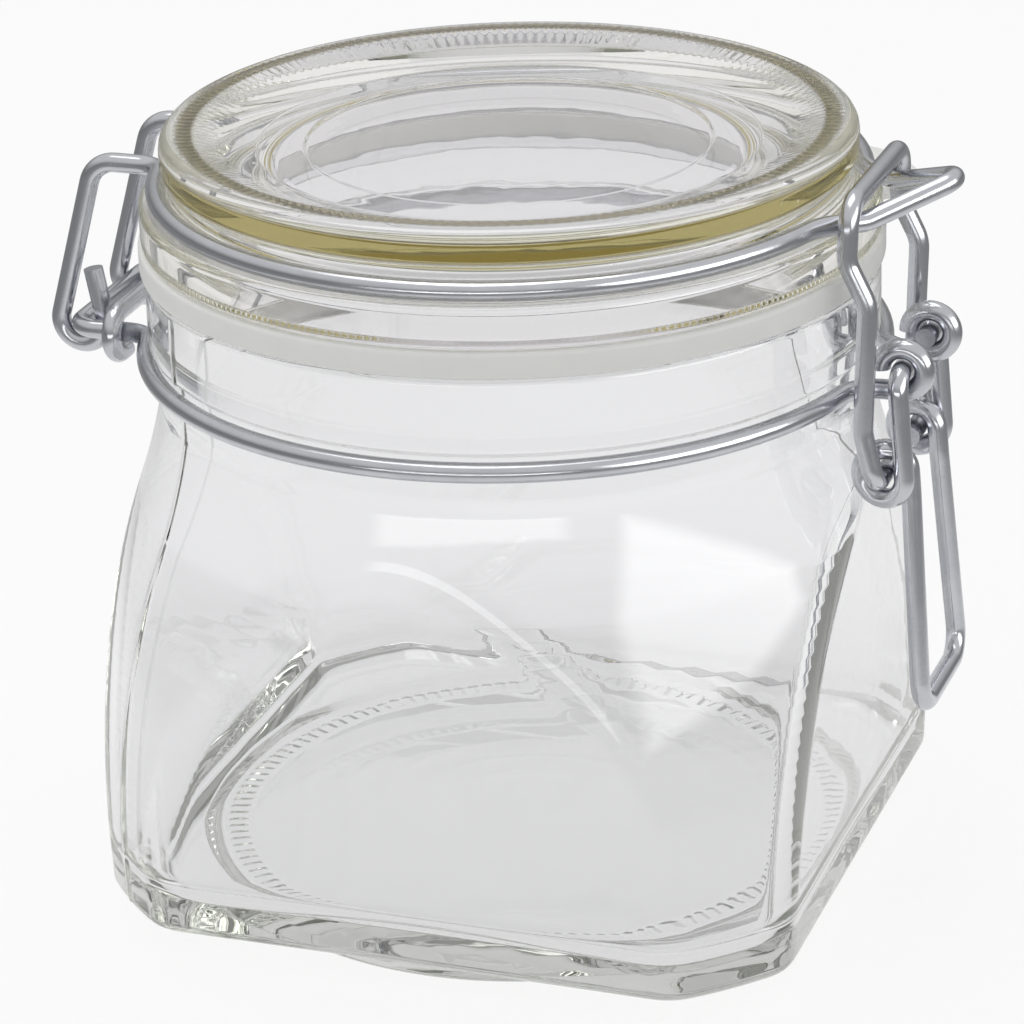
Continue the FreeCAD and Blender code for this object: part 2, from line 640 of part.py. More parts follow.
def check_and_export(nodes):
    """Stop on any failed object or bad shape, then write one file per piece."""
    document.recompute()
    for item in document.Objects:
        if "Invalid" in item.State or "Error" in item.State:
            raise RuntimeError(f"{item.Name} failed: {item.State}")
    os.makedirs(PARTS_FOLDER, exist_ok=True)
    for item in nodes:
        shape = item.Shape
        if shape.isNull() or not shape.isValid() or len(shape.Solids) != 1:
            raise RuntimeError(f"{item.Label} has a bad shape")
        print(f"{item.Label}: {shape.Volume / 1000.0:.2f} cm3")
        shape.exportStep(os.path.join(PARTS_FOLDER, item.Label + ".step"))


check_and_export([
    make_jar(),
    make_lid(),
    make_seal(),
    make_neck_wire(),
    make_neck_tie(),
    make_lid_wire(),
    make_lever(),
    make_clasp(),
])
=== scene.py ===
"""Clip-top glass jar in a studio.

A pressed glass jar and lid, a silicone sealing ring and a bent wire harness. Sizes are in millimetres, and
become metres where a mesh, a lamp or the camera is made.
"""
import logging
import math
from bisect import bisect_left
from dataclasses import dataclass, field
from enum import Enum

import bpy
from mathutils import Matrix, Vector

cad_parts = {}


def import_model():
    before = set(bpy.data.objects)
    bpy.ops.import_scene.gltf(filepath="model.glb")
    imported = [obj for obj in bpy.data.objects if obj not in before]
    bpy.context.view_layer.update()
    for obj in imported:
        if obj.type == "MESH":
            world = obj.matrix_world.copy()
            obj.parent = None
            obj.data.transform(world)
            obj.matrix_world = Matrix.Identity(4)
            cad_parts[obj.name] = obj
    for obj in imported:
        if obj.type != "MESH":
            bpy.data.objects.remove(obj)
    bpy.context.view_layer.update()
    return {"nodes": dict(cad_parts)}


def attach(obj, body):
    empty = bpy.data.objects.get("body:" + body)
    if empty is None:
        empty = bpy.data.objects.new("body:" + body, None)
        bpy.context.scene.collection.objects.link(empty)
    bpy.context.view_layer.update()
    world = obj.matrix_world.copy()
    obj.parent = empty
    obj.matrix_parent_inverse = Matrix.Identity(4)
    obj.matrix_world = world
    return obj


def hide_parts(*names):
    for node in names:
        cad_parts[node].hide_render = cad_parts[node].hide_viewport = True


LOG = logging.getLogger("jar")

MM = 0.001
FULL_TURN = 2.0 * math.pi
MERGE_MM = 0.002
TINY_MM = 1e-4
STRAIGHT = 1e-3

# Bounces after which light caught inside the glass is let out, and the grey that it shows.
ESCAPE_DEPTH = 11.0
ESCAPE_LEVEL = 0.45


class Body(Enum):
    """The bodies that pieces ride on."""

    JAR = "jar"
    LID = "lid"
    LEVER = "lever"
    CLASP = "clasp"


class Slot(Enum):
    """The material slots of the part."""

    GLASS = "clear_glass"
    SILICONE = "white_silicone"
    WIRE = "drawn_wire"


def linear(code: str) -> tuple[float, float, float, float]:
    """Turn an sRGB hex colour into a linear one.

    Args:
        code: The colour as "#RRGGBB".

    Returns:
        The linear red, green and blue, with an alpha of one.
    """
    channels = [int(code[start:start + 2], 16) / 255.0 for start in (1, 3, 5)]
    values = [c / 12.92 if c <= 0.04045 else ((c + 0.055) / 1.055) ** 2.4 for c in channels]
    return (values[0], values[1], values[2], 1.0)


def add_node(tree: bpy.types.NodeTree, kind: str, settings: dict | None = None,
             inputs: dict | None = None) -> bpy.types.Node:
    """Add a node, set its properties and fill its inputs.

    Args:
        tree: The node tree to add to.
        kind: The node's type name.
        settings: Property values of the node, by name.
        inputs: Values or output sockets for the node's inputs, by name or number.

    Returns:
        The new node.
    """
    node = tree.nodes.new(kind)
    for name, value in (settings or {}).items():
        setattr(node, name, value)
    for key, value in (inputs or {}).items():
        if isinstance(value, bpy.types.NodeSocket):
            tree.links.new(value, node.inputs[key])
        else:
            node.inputs[key].default_value = value
    return node


def new_material(name: str) -> bpy.types.Material:
    """Make an empty node material.

    Args:
        name: The material's name.

    Returns:
        The material, with an empty node tree.
    """
    material = bpy.data.materials.new(name)
    material.use_nodes = True
    material.node_tree.nodes.clear()
    return material


@dataclass(frozen=True)
class Tint:
    """A ring on a glass surface that shows more of the glass's own colour.

    Attributes:
        across: Distance of the ring's middle from the axis.
        height: Height of its middle.
        reach: How far it goes to either side of that distance and of that height.
        colour: What it tints the light with.
    """

    across: float
    height: float
    reach: tuple[float, float]
    colour: str


@dataclass(frozen=True)
class SodaLimeGlass:
    """Pressed, fire-polished soda-lime glass: clear, with slow ripples and a tint on long ways through it."""

    name: str
    ior: float = 1.52
    roughness: float = 0.008
    ripple_mm: float = 14.0
    ripple_depth_mm: float = 0.05
    ripple_roughness: float = 0.4
    tint: str = "#C9C800"
    tint_density: float = 2.2
    skin: str = "#FAFAFB"
    shadow: str = "#F4F5F2"
    tints: tuple[Tint, ...] = ()

    def tinted(self, tree: bpy.types.NodeTree, place: bpy.types.Node, shader: bpy.types.Node) -> None:
        """Tint rings of the surface where light runs the long way through the glass.

        Args:
            tree: The material's node tree.
            place: Its texture coordinate node.
            shader: The glass shader.
        """
        parts = add_node(tree, "ShaderNodeSeparateXYZ", {}, {0: place.outputs["Object"]})
        level = add_node(tree, "ShaderNodeCombineXYZ", {}, {0: parts.outputs["X"], 1: parts.outputs["Y"]})
        across = add_node(tree, "ShaderNodeVectorMath", {"operation": "LENGTH"}, {
            0: level.outputs["Vector"]})
        colour = None
        for tint in self.tints:
            near = []
            for source, middle, reach in ((across.outputs["Value"], tint.across, tint.reach[0]),
                                          (parts.outputs["Z"], tint.height, tint.reach[1])):
                away = add_node(tree, "ShaderNodeMath", {"operation": "SUBTRACT"}, {
                    0: source, 1: middle * MM})
                gap = add_node(tree, "ShaderNodeMath", {"operation": "ABSOLUTE"}, {
                    0: away.outputs["Value"]})
                near.append(add_node(tree, "ShaderNodeMapRange", {"interpolation_type": "SMOOTHSTEP"}, {
                    "Value": gap.outputs["Value"], "From Min": 0.5 * reach * MM, "From Max": reach * MM,
                    "To Min": 1.0, "To Max": 0.0}))
            share = add_node(tree, "ShaderNodeMath", {"operation": "MULTIPLY"}, {
                0: near[0].outputs["Result"], 1: near[1].outputs["Result"]})
            under = colour.outputs[2] if colour else linear(self.skin)
            colour = add_node(tree, "ShaderNodeMix", {"data_type": "RGBA"}, {
                0: share.outputs["Value"], 6: under, 7: linear(tint.colour)})
        tree.links.new(colour.outputs[2], shader.inputs["Base Color"])

    def material(self) -> bpy.types.Material:
        """Build the glass.

        Returns:
            A glass that lets the lamps through and takes up a little light on long ways through it.
        """
        material = new_material(self.name)
        tree = material.node_tree
        place = add_node(tree, "ShaderNodeTexCoord")
        # Slow ripples are what the mould's chilled skin leaves in pressed glass: reflections bend a little.
        ripple = add_node(tree, "ShaderNodeTexNoise", {}, {
            "Vector": place.outputs["Object"], "Scale": 1.0 / (self.ripple_mm * MM), "Detail": 2.0,
            "Roughness": self.ripple_roughness})
        relief = add_node(tree, "ShaderNodeBump", {}, {
            "Strength": 1.0, "Distance": self.ripple_depth_mm * MM, "Height": ripple.outputs["Fac"]})
        glass = add_node(tree, "ShaderNodeBsdfPrincipled", {}, {
            "Base Color": linear(self.skin), "Roughness": self.roughness, "IOR": self.ior,
            "Transmission Weight": 1.0, "Normal": relief.outputs["Normal"]})
        if self.tints:
            self.tinted(tree, place, glass)
        # Lamps shine through the glass instead of leaving the hard shadow of a solid.
        clear = add_node(tree, "ShaderNodeBsdfTransparent", {}, {"Color": linear(self.shadow)})
        rays = add_node(tree, "ShaderNodeLightPath")
        # Light thrown about for long inside a wall gets out in the end, so that no crease turns black.
        caught = add_node(tree, "ShaderNodeMath", {"operation": "GREATER_THAN"}, {
            0: rays.outputs["Ray Depth"], 1: ESCAPE_DEPTH})
        passes = add_node(tree, "ShaderNodeMath", {"operation": "MAXIMUM"}, {
            0: rays.outputs["Is Shadow Ray"], 1: caught.outputs["Value"]})
        skin = add_node(tree, "ShaderNodeMixShader", {}, {
            0: passes.outputs["Value"], 1: glass.outputs["BSDF"], 2: clear.outputs["BSDF"]})
        depth = add_node(tree, "ShaderNodeVolumeAbsorption", {}, {
            "Color": linear(self.tint), "Density": self.tint_density})
        add_node(tree, "ShaderNodeOutputMaterial", {}, {
            "Surface": skin.outputs["Shader"], "Volume": depth.outputs["Volume"]})
        return material


@dataclass(frozen=True)
class MouldedSilicone:
    """Moulded white silicone rubber: soft, milky and matt, with a faint bloom."""

    name: str = "moulded_white_silicone"
    colour: str = "#F5F5F2"
    bloom: str = "#EDEDEA"
    roughness: float = 0.42
    ior: float = 1.41
    bloom_mm: float = 6.0
    grit_mm: float = 0.5
    grit_depth_mm: float = 0.012
    milkiness: float = 0.35
    depth_mm: float = 2.5
    spread: tuple[float, float, float] = (1.0, 1.0, 0.9)

    def material(self) -> bpy.types.Material:
        """Build the rubber.

        Returns:
            A milky white rubber with a fine matt skin.
        """
        material = new_material(self.name)
        tree = material.node_tree
        place = add_node(tree, "ShaderNodeTexCoord")
        cloud = add_node(tree, "ShaderNodeTexNoise", {}, {
            "Vector": place.outputs["Object"], "Scale": 1.0 / (self.bloom_mm * MM), "Detail": 4.0})
        colour = add_node(tree, "ShaderNodeMix", {"data_type": "RGBA"}, {
            0: cloud.outputs["Fac"], 6: linear(self.colour), 7: linear(self.bloom)})
        # The mould's fine spark-worn skin keeps the rubber from shining.
        grit = add_node(tree, "ShaderNodeTexNoise", {}, {
            "Vector": place.outputs["Object"], "Scale": 1.0 / (self.grit_mm * MM), "Detail": 2.0})
        relief = add_node(tree, "ShaderNodeBump", {}, {
            "Distance": self.grit_depth_mm * MM, "Height": grit.outputs["Fac"]})
        rubber = add_node(tree, "ShaderNodeBsdfPrincipled", {}, {
            "Base Color": colour.outputs[2], "Roughness": self.roughness, "IOR": self.ior,
            "Subsurface Weight": self.milkiness, "Subsurface Scale": self.depth_mm * MM,
            "Subsurface Radius": self.spread, "Normal": relief.outputs["Normal"]})
        add_node(tree, "ShaderNodeOutputMaterial", {}, {"Surface": rubber.outputs["BSDF"]})
        return material


@dataclass(frozen=True)
class DrawnWire:
    """Bright drawn and zinc-plated steel wire: silvery, with faint draw marks and duller patches."""

    name: str = "zinc_plated_drawn_wire"
    colour: str = "#D0D1D5"
    dull: str = "#B9BBC1"
    bright_roughness: float = 0.15
    dull_roughness: float = 0.28
    patch_mm: float = 5.0
    mark_mm: float = 0.6
    mark_depth_mm: float = 0.01

    def material(self) -> bpy.types.Material:
        """Build the wire's metal.

        Returns:
            A bright metal whose plating is a little uneven.
        """
        material = new_material(self.name)
        tree = material.node_tree
        place = add_node(tree, "ShaderNodeTexCoord")
        patch = add_node(tree, "ShaderNodeTexNoise", {}, {
            "Vector": place.outputs["Object"], "Scale": 1.0 / (self.patch_mm * MM), "Detail": 5.0})
        colour = add_node(tree, "ShaderNodeMix", {"data_type": "RGBA"}, {
            0: patch.outputs["Fac"], 6: linear(self.colour), 7: linear(self.dull)})
        sheen = add_node(tree, "ShaderNodeMapRange", {}, {
            "Value": patch.outputs["Fac"], "From Min": 0.3, "From Max": 0.7,
            "To Min": self.bright_roughness, "To Max": self.dull_roughness})
        # Draw marks and handling nicks, drawn coarser than the real ones so that they show.
        marks = add_node(tree, "ShaderNodeTexNoise", {}, {
            "Vector": place.outputs["Object"], "Scale": 1.0 / (self.mark_mm * MM), "Detail": 3.0})
        relief = add_node(tree, "ShaderNodeBump", {}, {
            "Distance": self.mark_depth_mm * MM, "Height": marks.outputs["Fac"]})
        metal = add_node(tree, "ShaderNodeBsdfPrincipled", {}, {
            "Base Color": colour.outputs[2], "Metallic": 1.0, "Roughness": sheen.outputs["Result"],
            "Normal": relief.outputs["Normal"]})
        add_node(tree, "ShaderNodeOutputMaterial", {}, {"Surface": metal.outputs["BSDF"]})
        return material


@dataclass(frozen=True)
class Corner:
    """A corner of a turned outline.

    Attributes:
        across: Distance from the axis.
        height: Height above the table.
        ease: Radius that rounds the corner.
        bow: Radius of the arc that leads here from the corner before, negative if it turns to the right, or
            zero for a straight run.
        step: Longest step between two rows of points on the run that leads here.
    """

    across: float
    height: float
    ease: float = 0.0
    bow: float = 0.0
    step: float = 6.0


@dataclass
class Outline:
    """A turned piece's outline, from corner to corner, with its arcs and rounded corners.

    Attributes:
        corners: The corners in order.
        turn: The largest turn, in degrees, between two rows on a rounded corner.
        hold: How close to a corner the nearest rows of a long run stand, so that its shading stays even.
        short: How many times that distance a run has to measure to get rows of its own.
        most: The largest share of a run that a rounded corner takes up.
    """

    corners: list[Corner]
    turn: float = 15.0
    hold: float = 0.25
    short: float = 6.0
    most: float = 0.98

    def points(self) -> list[Vector]:
        """Work out the rows of the turned mesh.

        Returns:
            The outline's points, as vectors of distance and height.
        """
        runs = self._with_arcs()
        rows = [Vector((runs[0].across, runs[0].height))]
        for before, corner, after in zip(runs, runs[1:], runs[2:]):
            eased = self._eased(before, corner, after)
            rows.extend(self._between(rows[-1], eased[0], corner.step))
            rows.extend(eased)
        last = Vector((runs[-1].across, runs[-1].height))
        rows.extend(self._between(rows[-1], last, runs[-1].step))
        rows.append(last)
        return rows

    def _with_arcs(self) -> list[Corner]:
        """Put corners along each arc."""
        runs = [self.corners[0]]
        for start, stop in zip(self.corners, self.corners[1:]):
            if stop.bow:
                first = Vector((start.across, start.height))
                last = Vector((stop.across, stop.height))
                chord = last - first
                side = Vector((-chord.y, chord.x)).normalized()
                offset = math.sqrt(stop.bow ** 2 - (chord.length / 2.0) ** 2)
                centre = (first + last) / 2.0 + side * math.copysign(offset, stop.bow)
                reach = first - centre
                sweep = math.copysign(2.0 * math.asin(chord.length / 2.0 / abs(stop.bow)), stop.bow)
                count = math.ceil(chord.length / stop.step)
                for number in range(1, count):
                    spot = centre + Matrix.Rotation(sweep * number / count, 2) @ reach
                    runs.append(Corner(spot.x, spot.y, step=stop.step))
            runs.append(stop)
        return runs

    def _eased(self, before: Corner, corner: Corner, after: Corner) -> list[Vector]:
        """Round one corner.

        Args:
            before: The corner before it.
            corner: The corner to round.
            after: The corner after it.

        Returns:
            The points that take the corner's place.
        """
        spot = Vector((corner.across, corner.height))
        back = Vector((before.across, before.height)) - spot
        ahead = Vector((after.across, after.height)) - spot
        bend = math.pi - back.angle(ahead)
        if corner.ease <= 0.0 or bend < STRAIGHT:
            return [spot]
        cut = min(corner.ease * math.tan(bend / 2.0), back.length * self.most, ahead.length * self.most)
        radius = cut / math.tan(bend / 2.0)
        middle = (back.normalized() + ahead.normalized()).normalized()
        centre = spot + middle * (radius / math.cos(bend / 2.0))
        reach = spot + back.normalized() * cut - centre
        sweep = math.copysign(bend, back.x * ahead.y - back.y * ahead.x) * -1.0
        count = max(2, math.ceil(math.degrees(bend) / self.turn))
        return [centre + Matrix.Rotation(sweep * number / count, 2) @ reach for number in range(count + 1)]

    def _between(self, start: Vector, stop: Vector, step: float) -> list[Vector]:
        """Work out the rows between two points of a run.

        Args:
            start: Where the run starts.
            stop: Where it stops.
            step: The longest step between two rows.

        Returns:
            The rows between the two, with one close to each end of a long run.
        """
        run = stop - start
        if run.length < self.short * self.hold:
            return []
        inner = run.normalized() * self.hold
        count = math.ceil((run.length - 2.0 * self.hold) / step)
        return [(start + inner).lerp(stop - inner, number / count) for number in range(count + 1)]


def leave_nothing_selected() -> None:
    """Leave edit mode and deselect every object."""
    if bpy.context.object and bpy.context.object.mode != "OBJECT":
        bpy.ops.object.mode_set(mode="OBJECT")
    bpy.ops.object.select_all(action="DESELECT")


def pick(*pieces: bpy.types.Object) -> None:
    """Select objects alone and make the first one active.

    Args:
        pieces: The objects.
    """
    leave_nothing_selected()
    for piece in pieces:
        piece.select_set(True)
    bpy.context.view_layer.objects.active = pieces[0]


def apply_modifier(piece: bpy.types.Object, kind: str, **settings: object) -> None:
    """Give an object a modifier and apply it.

    Args:
        piece: The object.
        kind: The modifier's type name.
        settings: The modifier's properties.
    """
    pick(piece)
    modifier = piece.modifiers.new(kind.lower(), kind)
    for name, value in settings.items():
        setattr(modifier, name, value)
    bpy.ops.object.modifier_apply(modifier=modifier.name)


def turned_skin(name: str, outline: Outline, steps: int) -> bpy.types.Object:
    """Turn an outline about the jar's axis.

    Args:
        name: The new object's name.
        outline: The outline to turn.
        steps: How many steps make the full turn.

    Returns:
        The turned object, its doubles merged.
    """
    rows = [Vector((point.x, 0.0, point.y)) * MM for point in outline.points()]
    leave_nothing_selected()
    bpy.ops.mesh.primitive_plane_add(size=MM)
    piece = bpy.context.object
    piece.name = name
    piece.data.name = name
    bpy.ops.object.mode_set(mode="EDIT")
    bpy.ops.mesh.merge(type="CENTER")
    bpy.ops.transform.translate(value=rows[0])
    for start, stop in zip(rows, rows[1:]):
        bpy.ops.mesh.extrude_vertices_move(TRANSFORM_OT_translate={"value": stop - start})
    bpy.ops.object.mode_set(mode="OBJECT")
    apply_modifier(piece, "SCREW", angle=FULL_TURN, steps=steps, render_steps=steps, use_merge_vertices=True,
                   merge_threshold=MERGE_MM * MM)
    return piece


def close_skin(piece: bpy.types.Object) -> None:
    """Merge a closed skin's doubles, turn its faces outwards and shade it smooth.

    Args:
        piece: The object.
    """
    pick(piece)
    bpy.ops.object.mode_set(mode="EDIT")
    bpy.ops.mesh.select_all(action="SELECT")
    bpy.ops.mesh.remove_doubles(threshold=MERGE_MM * MM)
    bpy.ops.mesh.normals_make_consistent(inside=False)
    bpy.ops.object.mode_set(mode="OBJECT")
    bpy.ops.object.shade_smooth()


def settle(piece: bpy.types.Object, material: bpy.types.Material, body: Body, slot: Slot,
           *nodes: str) -> None:
    """Finish a piece: give it its material, its body and the nodes that it stands for.

    Args:
        piece: The finished object.
        material: Its material.
        body: The body that it rides on.
        slot: Its material slot; not used.
        nodes: The solids that it replaces.
    """
    piece.data.materials.clear()
    piece.data.materials.append(material)
    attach(piece, body.value)
    if nodes:
        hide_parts(*nodes)
    LOG.info("%s: %d faces, rides on %s", piece.name, len(piece.data.polygons), body.value)


def soft_least(first: float, second: float, blend: float) -> float:
    """Take the lesser of two lengths, rounding the change from one to the other.

    Args:
        first: One length.
        second: The other length.
        blend: The difference below which the two are blended.

    Returns:
        The lesser length, or a little less near the change.
    """
    share = max(blend - abs(first - second), 0.0) / blend
    return min(first, second) - share * share * blend / 4.0


@dataclass
class Skin:
    """One skin of the jar, to be turned and then pressed square.

    Attributes:
        name: Name of the object.
        corners: The turned outline.
        floor: Height of the skin's flat bottom.
        edge: Distance of the corners' wall from the axis above the bottom.
        ease: Radius between that bottom and the wall, if it runs along the flats too, or zero.
        held: Distance from the axis up to which the bottom stays round.
        inset: How far this skin lies inside the flats.
        crease: Half the width of the rounded crease around each flat.
    """

    name: str
    corners: list[Corner]
    floor: float
    edge: float
    ease: float
    held: float
    inset: float
    crease: float


@dataclass
class GlassJar:
    """The pressed jar: square below with four arch-topped flats, round at the neck."""

    finish: SodaLimeGlass
    steps: int = 504
    row_turn: float = 13.0
    flats_half: float = 47.0
    flats_lean: float = 2.0
    mouth: float = 42.0
    neck: float = 47.0
    collar: float = 48.0
    waist: float = 51.3
    corner: float = 58.9
    wall: float = 3.0
    heel: float = 3.7
    heel_ease: float = 1.8
    waist_level: float = 53.0
    shoulder_level: float = 67.3
    collar_level: float = 75.2
    rim: float = 85.6
    body_bow: float = 105.0
    shoulder_bow: float = 76.0
    heel_rise: float = 3.1
    collar_rise: float = 0.7
    collar_ease: float = 0.6
    rim_ease: float = 1.0
    mouth_ease: float = 1.2
    neck_ease: float = 4.0
    inside_neck_ease: float = 6.0
    foot_inner: float = 37.6
    foot_outer: float = 42.3
    foot_ease: float = 1.2
    foot_flare: float = 1.6
    flare_ease: float = 0.8
    held_margin: float = 0.5
    flats_margin: float = 4.0
    recess: float = 1.5
    recess_bow: float = 460.0
    inside_floor: float = 7.0
    inside_ease: float = 5.0
    crease: float = 2.4
    inside_crease: float = 2.6
    seam_height: float = 0.14
    seam_width: float = 0.22
    seam_ends: tuple[float, float] = (1.0, 1.5)
    seams: tuple[float, ...] = (45.0, 225.0)
    dashes: int = 126
    dash_height: float = 0.14
    dash_band: tuple[float, float] = (38.5, 40.6)
    dash_margin: float = 0.3
    dash_share: float = 0.5
    dash_phase: float = 0.125

    def outside(self) -> Skin:
        """Describe the outer skin, from under the foot to the rim."""
        held = self.foot_outer + self.foot_flare
        lip = (self.mouth + self.collar) / 2.0
        corners = [
            Corner(0.0, self.recess),
            Corner(self.foot_inner, 0.0, bow=-self.recess_bow),
            Corner(self.dash_band[0] - self.dash_margin, 0.0),
            Corner(self.dash_band[0], 0.0),
            Corner(self.dash_band[1], 0.0),
            Corner(self.dash_band[1] + self.dash_margin, 0.0),
            Corner(self.foot_outer, 0.0, self.foot_ease),
            Corner(held, self.heel, self.flare_ease),
            Corner(self.corner, self.heel, self.heel_ease),
            Corner(self.corner, self.heel + self.heel_rise, step=1.2),
            Corner(self.waist, self.waist_level, bow=self.body_bow, step=1.4),
            Corner(self.neck, self.shoulder_level, self.neck_ease, -self.shoulder_bow, step=0.8),
            Corner(self.neck, self.collar_level, self.collar_ease),
            Corner(self.collar, self.collar_level + self.collar_rise, self.collar_ease),
            Corner(self.collar, self.rim, self.rim_ease),
            Corner(lip, self.rim),
        ]
        return Skin("jar_glass", corners, self.heel, self.corner, self.heel_ease, held + self.held_margin,
                    0.0, self.crease)

    def inside(self) -> Skin:
        """Describe the inner skin, from the middle of the floor to the rim."""
        wall = self.corner - self.wall
        lip = (self.mouth + self.collar) / 2.0
        corners = [
            Corner(0.0, self.inside_floor),
            Corner(wall - self.inside_ease, self.inside_floor, step=2.0),
            Corner(wall, self.inside_floor + self.inside_ease, bow=self.inside_ease, step=0.8),
            Corner(self.waist - self.wall, self.waist_level, bow=self.body_bow, step=1.8),
            Corner(self.mouth, self.shoulder_level, self.inside_neck_ease, -self.shoulder_bow, step=1.0),
            Corner(self.mouth, self.rim, self.mouth_ease),
            Corner(lip, self.rim),
        ]
        return Skin("jar_inside", corners, self.inside_floor, wall, self.inside_ease, 0.0, self.wall,
                    self.inside_crease)

    def press_flats(self, piece: bpy.types.Object, skin: Skin) -> None:
        """Press the four flats into a turned skin.

        Args:
            piece: The turned object.
            skin: Its description.
        """
        lean = math.tan(math.radians(self.flats_lean))
        top = self.shoulder_level + self.flats_margin
        outline = Outline(skin.corners, turn=self.row_turn)
        rows = [row for row in outline.points() if row.y > skin.floor + skin.ease]
        heights = [row.y for row in rows]
        for vertex in piece.data.vertices:
            x, y, z = vertex.co / MM
            across = math.hypot(x, y)
            if z < skin.floor - TINY_MM or z > top or across <= max(skin.held, TINY_MM):
                continue
            on_bottom = skin.ease > 0.0 and z < skin.floor + skin.ease
            wall = skin.edge if on_bottom else across
            facing = max(abs(x), abs(y)) / across
            flat = (self.flats_half - skin.inset + z * lean) / facing
            row = min(max(bisect_left(heights, z - TINY_MM), 1), len(rows) - 1)
            run = rows[row] - rows[row - 1]
            rise = (run.x - run.y * lean / facing) / max(run.length, TINY_MM)
            sweep = math.sqrt(max(1.0 - facing * facing, 0.0)) / facing
            reach = soft_least(wall, flat, skin.crease * max(min(math.hypot(rise, sweep), 1.0), TINY_MM))
            rounding = skin.edge - skin.ease
            if on_bottom and across < rounding:
                share = (across - skin.held) / (rounding - skin.held)
                placed = skin.held + share * (reach - skin.ease - skin.held)
            else:
                placed = reach - (wall - across)
            vertex.co.x *= placed / across
            vertex.co.y *= placed / across

    def raise_seams(self, piece: bpy.types.Object) -> None:
        """Raise the two mould seams along the outer skin's corners.

        Args:
            piece: The outer skin.
        """
        step = FULL_TURN / self.steps
        low = self.heel + self.seam_ends[0]
        high = self.rim - self.seam_ends[1]
        for vertex in piece.data.vertices:
            place = vertex.co / MM
            if place.z < low or place.z > high:
                continue
            azimuth = math.atan2(place.y, place.x)
            across = math.hypot(place.x, place.y)
            for seam in self.seams:
                away = (azimuth - math.radians(seam) + math.pi) % FULL_TURN - math.pi
                if abs(away) < 0.5 * step:
                    vertex.co.x *= 1.0 + self.seam_height / across
                    vertex.co.y *= 1.0 + self.seam_height / across
                elif abs(away) < 1.5 * step:
                    closer = math.copysign(self.seam_width / across, away) - away
                    vertex.co = Matrix.Rotation(closer, 3, "Z") @ vertex.co

    def press_dashes(self, piece: bpy.types.Object) -> None:
        """Press the ring of short radial dashes into the foot's bearing face.

        Args:
            piece: The outer skin.
        """
        for vertex in piece.data.vertices:
            place = vertex.co / MM
            across = math.hypot(place.x, place.y)
            if place.z < TINY_MM and self.dash_band[0] - TINY_MM < across < self.dash_band[1] + TINY_MM:
                azimuth = math.atan2(place.y, place.x) % FULL_TURN
                if (azimuth * self.dashes / FULL_TURN + self.dash_phase) % 1.0 < self.dash_share:
                    vertex.co.z += self.dash_height * MM

    def build(self) -> None:
        """Build the jar from its two skins and dress it."""
        skins = []
        for skin in (self.outside(), self.inside()):
            piece = turned_skin(skin.name, Outline(skin.corners, turn=self.row_turn), self.steps)
            self.press_flats(piece, skin)
            skins.append(piece)
        outer = skins[0]
        self.press_dashes(outer)
        self.raise_seams(outer)
        pick(*skins)
        bpy.ops.object.join()
        close_skin(outer)
        settle(outer, self.finish.material(), Body.JAR, Slot.GLASS, "glass_jar")


